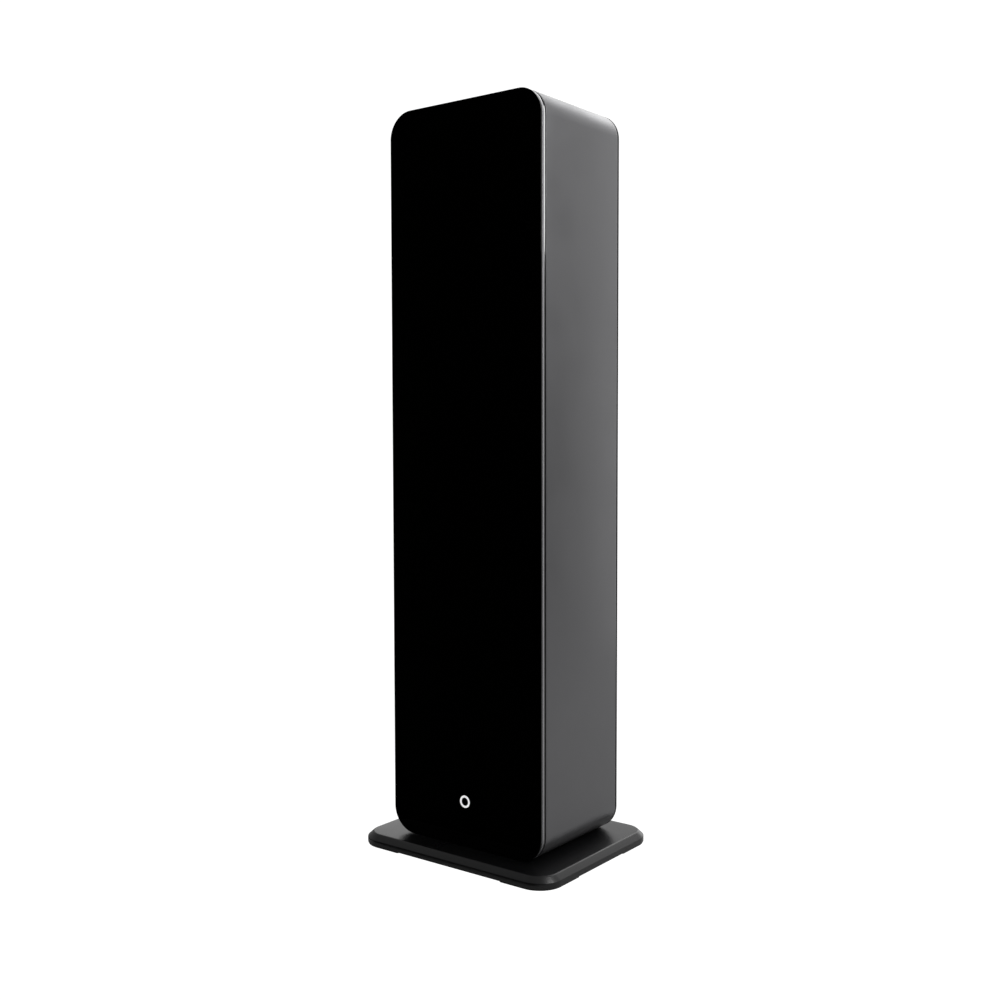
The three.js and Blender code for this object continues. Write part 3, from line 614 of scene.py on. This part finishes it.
def weighted_base():
    """Plate with a soft lower edge, an upright band, a bevel, and a softened step to the top."""
    low = base_low[2]
    top = base_high[2]
    profile = [
        (1.2 * MM, low), (0.5 * MM, low + 0.2 * MM), (0.12 * MM, low + 0.6 * MM), (0, low + 1.2 * MM),
        (0, low + 7.7 * MM), (0.06 * MM, low + 8.05 * MM), (0.2 * MM, low + 8.35 * MM),
        (0.42 * MM, low + 8.6 * MM), (6.3 * MM, top - 1.7 * MM), (6.9 * MM, top - 1.15 * MM),
        (7.6 * MM, top - 0.65 * MM), (8.4 * MM, top - 0.28 * MM), (9.2 * MM, top - 0.07 * MM),
        (10.1 * MM, top),
    ]
    piece = sweep("weighted_base", base_outline, profile, "Z")
    margin = GAP
    pocket = block("pocket", (weight_low[0] - margin, weight_low[1] - margin, 0),
                   (weight_high[0] + margin, weight_high[1] + margin, weight_high[2] + margin))
    carve(piece, pocket)
    for sign_x in (-1, 1):
        for sign_y in (-1, 1):
            outline = foot_outline(sign_x, sign_y, -0.2 * MM)
            carve(piece, prism("pocket", outline, 0, 3.3 * MM, "Z"))
            place = (SCREW_X * sign_x, SCREW_Y * sign_y)
            carve(piece, disc("head", place, HEAD_HOLE, 0, 7.5 * MM, "Z", 32))
            carve(piece, disc("shank", place, SCREW_HOLE, 0, top + MM, "Z", 24))
    return dress(smooth(piece), "base_black", "base_plate")


def rubber_foot(name, sign_x, sign_y):
    piece = sweep("pad_" + name, lambda inset: foot_outline(sign_x, sign_y, inset),
                  eased(0, 3 * MM, 0.7 * MM), "Z")
    return dress(smooth(piece), "black_rubber", "foot_" + name)


# ------------------------------------------------------------------ rear

DOOR_REVEAL = 1.5 * MM
LIP_X = 93 * MM
LIP_LOW = 121 * MM
LIP_HIGH = 751 * MM
LIP_REAR = 85.5 * MM
HINGE_RADIUS = 4 * MM
HINGE_X = door_low[0] + HINGE_RADIUS
HINGE_Y = door_low[1] + HINGE_RADIUS
PIN_HOLE = 2.3 * MM       # radius
CATCH_X = 97.2 * MM
CATCH_Z = (250 * MM, 620 * MM)
CATCH_HOLE = 3.3 * MM     # radius
SLOT_ROWS = 37
SLOT_FIRST = 140 * MM
SLOT_PITCH = 16 * MM
SLOT_HEIGHT = 8 * MM
SLOT_END = 84 * MM
SLOT_RIB = 3 * MM
FRAME_BORDER = 7.5 * MM


def rear_shell():
    """Rear frame: a flange as wide as the sleeve, a spigot inside it, and every opening cut through."""
    rear = rear_high[1]
    front = rear_low[1]
    step = sleeve_high[1] + GAP
    spigot = WALL + GAP
    profile = [(spigot, front), (spigot, step), (0.3 * MM, step), (0, step + 0.3 * MM)]
    profile += eased(step, rear, 0.8 * MM)[5:]
    piece = sweep("rear_shell", tower_outline, profile, "Y")
    inside = front - MM
    outside = rear + MM
    skin = rear - 3 * MM
    hollow_half = HALF_WIDTH - FRAME_BORDER

    def hollow(low, high):
        return rounded(-hollow_half, low, hollow_half, high, 29 * MM, 10)

    opening = rounded(door_low[0] - DOOR_REVEAL, door_low[2] - DOOR_REVEAL,
                      door_high[0] + DOOR_REVEAL, door_high[2] + DOOR_REVEAL, 1.5 * MM, 4)
    lip = rounded(-LIP_X, LIP_LOW, LIP_X, LIP_HIGH, 1 * MM, 2)
    carve(
        piece,
        prism("opening", opening, LIP_REAR, outside, "Y"),
        prism("lip", lip, inside, outside, "Y"),
        prism("upper", hollow(775 * MM, TOP - FRAME_BORDER), inside, skin, "Y"),
        prism("lower", hollow(BOTTOM + FRAME_BORDER, 97 * MM), inside, skin, "Y"),
        prism("grip", rounded(cup_low[0] - GAP, cup_low[2] - GAP, cup_high[0] + GAP, cup_high[2] + GAP,
                              7 * MM, 10), inside, outside, "Y"),
        prism("inlet", rounded(socket_low[0] - GAP, socket_low[2] - GAP, socket_high[0] + GAP,
                               socket_high[2] + GAP, 1.5 * MM, 4), inside, outside, "Y"),
        prism("notch", rounded(96 * MM, 416 * MM, 118 * MM, 456 * MM, 8 * MM, 10), 87 * MM, outside, "Y"),
    )
    for row in range(-2, 3):
        level = (sensor_low[2] + sensor_high[2]) / 2 + row * 5 * MM
        middle = (sensor_low[0] + sensor_high[0]) / 2
        carve(piece, prism("vent", rounded(middle - 14 * MM, level - 1.2 * MM, middle + 14 * MM,
                                           level + 1.2 * MM, 1.15 * MM, 5), inside, outside, "Y"))
    for level in CATCH_Z:
        carve(piece, disc("magnet", (CATCH_X, level), CATCH_HOLE, LIP_REAR - 3.5 * MM, outside, "Y", 32))
    for low, high in ((door_low[2] - 11 * MM, door_low[2]), (door_high[2], door_high[2] + 11 * MM)):
        carve(piece, disc("pin", (HINGE_X, HINGE_Y), PIN_HOLE, low, high, "Z", 24))
    return dress(soften(piece, 0.5 * MM), "black_plastic", "rear_frame")


def grip_liner():
    """Tub with a round-cornered well and a softened brim."""
    rear = cup_high[1]
    floor = cup_low[1]

    def outline(inset):
        radius = max(7 * MM - inset, 3.5 * MM)
        return rounded(cup_low[0] + inset, cup_low[2] + inset, cup_high[0] - inset, cup_high[2] - inset,
                       radius, 10)

    profile = [(1 * MM, floor), (0, floor + MM), (0, rear - 0.4 * MM), (0.12 * MM, rear - 0.12 * MM),
               (0.4 * MM, rear), (1.3 * MM, rear), (1.9 * MM, rear - 0.3 * MM), (2.2 * MM, rear - 1.2 * MM)]
    profile += [(2.6 * MM, floor + 8 * MM), (3.2 * MM, floor + 5 * MM), (5 * MM, floor + 3 * MM),
                (8 * MM, floor + 2.1 * MM)]
    piece = sweep("grip_liner", outline, profile, "Y")
    return dress(smooth(piece), "black_plastic", "grip_cup")


def socket_body():
    """Two-pin inlet with an oval well."""
    x = (socket_low[0] + socket_high[0]) / 2
    z = (socket_low[2] + socket_high[2]) / 2
    rear = socket_high[1]
    body = prism("socket_body", rounded(socket_low[0], socket_low[2], socket_high[0], socket_high[2],
                                        1.2 * MM, 4), socket_low[1], rear, "Y")
    well = prism("well", rounded(x - 8.6 * MM, z - 4.9 * MM, x + 8.6 * MM, z + 4.9 * MM, 4.8 * MM, 12),
                 80 * MM, rear + MM, "Y")
    carve(body, well)
    return dress(soften(body, 0.35 * MM), "black_plastic", "inlet_socket")


def socket_pin(side):
    x = (socket_low[0] + socket_high[0]) / 2 + side * 4.3 * MM
    z = (socket_low[2] + socket_high[2]) / 2

    def outline(inset):
        return arc((x, z), 1.2 * MM - inset, 0, 345, 23)

    profile = [(0, 79.5 * MM), (0, 90 * MM), (0.3 * MM, 90.7 * MM), (0.75 * MM, 91 * MM)]
    name = "socket_pin_left" if side < 0 else "socket_pin_right"
    return dress(smooth(sweep(name, outline, profile, "Y")), "bright_steel")


def slot_cutters():
    """All the door's intake slots, as one set of separate shells."""
    builder = bmesh.new()
    for row in range(SLOT_ROWS):
        low = SLOT_FIRST + row * SLOT_PITCH
        high = low + SLOT_HEIGHT
        for start, end in ((-SLOT_END, -SLOT_RIB), (SLOT_RIB, SLOT_END)):
            points = rounded(start, low, end, high, SLOT_HEIGHT * 0.49, 6)
            levels = [(0, door_low[1] - MM), (0, door_high[1] + MM)]
            sweep_into(builder, lambda inset, ring=points: ring, levels, "Y")
    return new_object("slots", builder)


def door_panel():
    plan = [(door_high[0], door_low[1]), (door_high[0], door_high[1])]
    plan += arc((HINGE_X, HINGE_Y), HINGE_RADIUS, 90, 270, 20)
    piece = prism("door_panel", plan, door_low[2], door_high[2], "Z")
    carve(piece, slot_cutters())
    for level in CATCH_Z:
        carve(piece, disc("strike", (CATCH_X, level), CATCH_HOLE, door_low[1] - MM,
                          door_low[1] + 1.8 * MM, "Y", 32))
    for low, high in ((door_low[2] - MM, door_low[2] + 10 * MM), (door_high[2] - 10 * MM, door_high[2] + MM)):
        carve(piece, disc("pin", (HINGE_X, HINGE_Y), PIN_HOLE, low, high, "Z", 24))
    return dress(soften(piece, 0.55 * MM, 2), "black_plastic", "rear_door", body="rear_door")


def filter_net():
    """Net of crossed threads, every 3 mm."""
    builder = bmesh.new()
    pitch = 3 * MM
    half = 0.35 * MM
    middle = (net_low[1] + net_high[1]) / 2

    def thread(low, high):
        corners = [(low[0], low[2]), (high[0], low[2]), (high[0], high[2]), (low[0], high[2])]
        sweep_into(builder, lambda inset: corners, [(0, low[1]), (0, high[1])], "Y")

    columns = int((net_high[0] - net_low[0]) / pitch)
    for i in range(columns + 1):
        x = net_low[0] + half + (net_high[0] - net_low[0] - 2 * half) * i / columns
        thread((x - half, middle - 0.5 * MM, net_low[2]), (x + half, middle + 0.1 * MM, net_high[2]))
    rows = int((net_high[2] - net_low[2]) / pitch)
    for i in range(rows + 1):
        z = net_low[2] + half + (net_high[2] - net_low[2] - 2 * half) * i / rows
        thread((net_low[0], middle - 0.1 * MM, z - half), (net_high[0], middle + 0.5 * MM, z + half))
    return dress(new_object("filter_net", builder), "filter_mesh", "prefilter_mesh")


# ------------------------------------------------------------------ top grille

FIN_COUNT = 12
FIN_LEAN = 5 * MM
FIN_THICKNESS = 1.6 * MM
BORDER = 3 * MM


def fin_section(y):
    """Rounded, leaning section in Y and Z."""
    low = TOP - 11 * MM
    high = TOP - 1.5 * MM
    half = FIN_THICKNESS / 2
    lean = FIN_LEAN / 2
    slope = math.degrees(math.atan2(high - low, -FIN_LEAN))
    upper = arc((y - lean, high - half), half, slope - 90, slope + 90, 8)
    lower = arc((y + lean, low + half), half, slope + 90, slope + 270, 8)
    return upper + lower


def top_louvres():
    def outline(inset):
        reach = GAP + inset
        return rounded(-MOUTH_X + reach, MOUTH_FRONT + reach, MOUTH_X - reach, MOUTH_REAR - reach,
                       MOUTH_RADIUS - reach, 10)

    border = sweep("border", outline, tube_profile(grille_low[2] + 2 * MM, TOP, BORDER - GAP, 0.6 * MM), "Z",
                   closed=True)

    def seat_outline(inset):
        reach = inset - 1.5 * MM
        return rounded(-MOUTH_X + reach, MOUTH_FRONT + reach, MOUTH_X - reach, MOUTH_REAR - reach,
                       MOUTH_RADIUS - reach, 10)

    seat = sweep("seat", seat_outline,
                 tube_profile(grille_low[2], grille_low[2] + 2.2 * MM, 4.5 * MM, 0.5 * MM), "Z", closed=True)
    parts = [border, seat]
    span = MOUTH_REAR - MOUTH_FRONT - 2 * BORDER
    reach = MOUTH_X - BORDER + 0.5 * MM
    for i in range(FIN_COUNT):
        y = MOUTH_FRONT + BORDER + (i + 0.5) * span / FIN_COUNT
        parts.append(prism("fin", fin_section(y), -reach, reach, "X"))
    rib = rounded(-2 * MM, MOUTH_FRONT + 2 * MM, 2 * MM, MOUTH_REAR - 2 * MM, 1.9 * MM, 6)
    parts.append(prism("rib", rib, TOP - 11 * MM, TOP - 2.6 * MM, "Z"))
    return dress(smooth(join("top_louvres", parts)), "black_plastic", "outlet_grille")


# ------------------------------------------------------------------ make the pieces

glass_pane()
touch_ring()
carrier_edge()
seal_bead()
wrap_sleeve()
weighted_base()
for place, side, depth in (("front_left", -1, -1), ("front_right", 1, -1),
                           ("rear_left", -1, 1), ("rear_right", 1, 1)):
    rubber_foot(place, side, depth)
rear_shell()
grip_liner()
socket_body()
socket_pin(-1)
socket_pin(1)
door_panel()
filter_net()
top_louvres()

# ------------------------------------------------------------------ studio

BACKDROP = 1.1            # what the camera sees behind and below the object
WORLD_LIGHT = 0.33
FLOOR_TONE = 0.55
WALL_PANELS = ((-2.25, -1.05, 0.78), (-1.05, -0.35, 0.42), (-0.35, 0.3, 1.35), (0.3, 1.3, 0.7))


def white_world():
    """Pure white where the camera sees it, and a softer light for the object."""
    world = bpy.data.worlds.new("studio")
    world.use_nodes = True
    tree = world.node_tree
    tree.nodes.clear()
    path = tree.nodes.new("ShaderNodeLightPath")
    mix = tree.nodes.new("ShaderNodeMixShader")
    lit = tree.nodes.new("ShaderNodeBackground")
    seen = tree.nodes.new("ShaderNodeBackground")
    output = tree.nodes.new("ShaderNodeOutputWorld")
    lit.inputs["Strength"].default_value = WORLD_LIGHT
    seen.inputs["Strength"].default_value = BACKDROP
    lit.inputs["Color"].default_value = (1, 1, 1, 1)
    seen.inputs["Color"].default_value = (1, 1, 1, 1)
    tree.links.new(path.outputs["Is Camera Ray"], mix.inputs[0])
    tree.links.new(lit.outputs[0], mix.inputs[1])
    tree.links.new(seen.outputs[0], mix.inputs[2])
    tree.links.new(mix.outputs[0], output.inputs["Surface"])
    scene.world = world


def glowing_floor():
    """Pure white where the camera sees it, and a matt grey floor for the object."""
    reach = 12.0
    piece = block("studio_floor", (-reach, -reach, -0.02), (reach, reach, 0))
    material = bpy.data.materials.new("studio_floor")
    material.use_nodes = True
    tree = material.node_tree
    matt = tree.nodes["Principled BSDF"]
    matt.inputs["Base Color"].default_value = (FLOOR_TONE, FLOOR_TONE, FLOOR_TONE, 1)
    matt.inputs["Roughness"].default_value = 0.9
    matt.inputs["Specular IOR Level"].default_value = 0.0
    glow = tree.nodes.new("ShaderNodeEmission")
    glow.inputs["Strength"].default_value = BACKDROP
    path = tree.nodes.new("ShaderNodeLightPath")
    mix = tree.nodes.new("ShaderNodeMixShader")
    tree.links.new(path.outputs["Is Camera Ray"], mix.inputs[0])
    tree.links.new(matt.outputs[0], mix.inputs[1])
    tree.links.new(glow.outputs[0], mix.inputs[2])
    tree.links.new(mix.outputs[0], tree.nodes["Material Output"].inputs["Surface"])
    piece.data.materials.append(material)


def soft_light(name, place, target, size, radiance):
    data = bpy.data.lights.new(name, "AREA")
    data.shape = "RECTANGLE"
    data.size, data.size_y = size
    data.energy = radiance * math.pi * size[0] * size[1]
    light = bpy.data.objects.new(name, data)
    light.location = place
    light.visible_camera = False
    light.rotation_euler = (Vector(target) - Vector(place)).to_track_quat("-Z", "Y").to_euler()
    scene.collection.objects.link(light)


def black_flag(name, low, high):
    """Black card that only reflections see, so that the glass front mirrors it and not the white studio."""
    card = block(name, low, high)
    material = bpy.data.materials.new(name)
    material.use_nodes = True
    shader = material.node_tree.nodes["Principled BSDF"]
    shader.inputs["Base Color"].default_value = (0, 0, 0, 1)
    shader.inputs["Specular IOR Level"].default_value = 0.0
    card.data.materials.append(material)
    card.visible_camera = False
    card.visible_diffuse = False
    card.visible_shadow = False


white_world()
glowing_floor()
black_flag("wall_flag", (-3.6, -2.42, 0), (3.6, -2.4, 3.2))
black_flag("floor_flag", (-3.6, -2.4, 0.001), (3.6, -0.15, 0.003))
black_flag("left_flag", (-0.9, -0.15, 0.001), (-0.17, -0.07, 0.003))
for low, high, radiance in WALL_PANELS:
    middle = (low + high) / 2
    soft_light("back_wall", (middle, 1.6, 1.4), (middle, 0, 1.4), (high - low, 2.8), radiance)
soft_light("high_rear_softbox", (-0.4, 1.5, 2.0), (0, 0, 1.0), (1.9, 1.4), 1.55)
soft_light("right_softbox", (1.6, 0.15, 1.6), (0.1, 0, 1.0), (0.9, 1.1), 6.5)
scene.view_settings.view_transform = "Standard"
